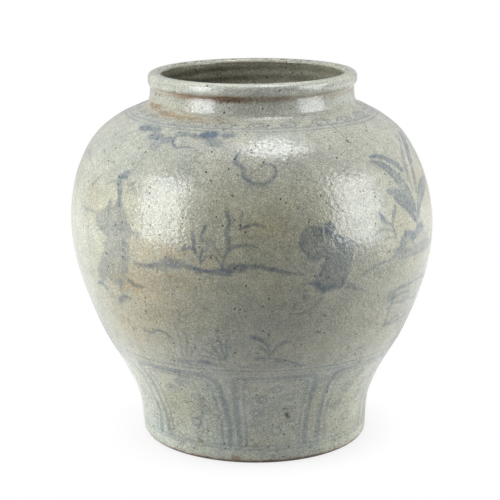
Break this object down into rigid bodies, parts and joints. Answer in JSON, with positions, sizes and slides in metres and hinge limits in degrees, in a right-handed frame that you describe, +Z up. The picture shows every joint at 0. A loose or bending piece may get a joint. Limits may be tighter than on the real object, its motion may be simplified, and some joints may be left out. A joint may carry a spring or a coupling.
{
  "type": "storage jar",
  "caption": "Wide-shouldered stoneware guan jar with a short neck, rolled rim and recessed foot, blue-painted under a crackled grey-green glaze.",
  "frame": {"origin": "on the ground, below the middle of the belly", "axes": "+Z up along the jar's axis, -Y towards the viewer of the main painted side, +X to that viewer's right"},
  "size_m": [0.3334, 0.3334, 0.3404],
  "materials": {
    "outer_glaze": "glossy",
    "inner_glaze": "satin",
    "bare_clay": "matte"
  },
  "bodies": {
    "root": {"neck_collar": "outer_glaze", "upper_body": "outer_glaze", "lower_body": "outer_glaze", "base_disc": "bare_clay", "neck_seam_slip": "outer_glaze", "belly_seam_slip": "inner_glaze", "base_seam_slip": "inner_glaze"}
  },
  "joints": []
}
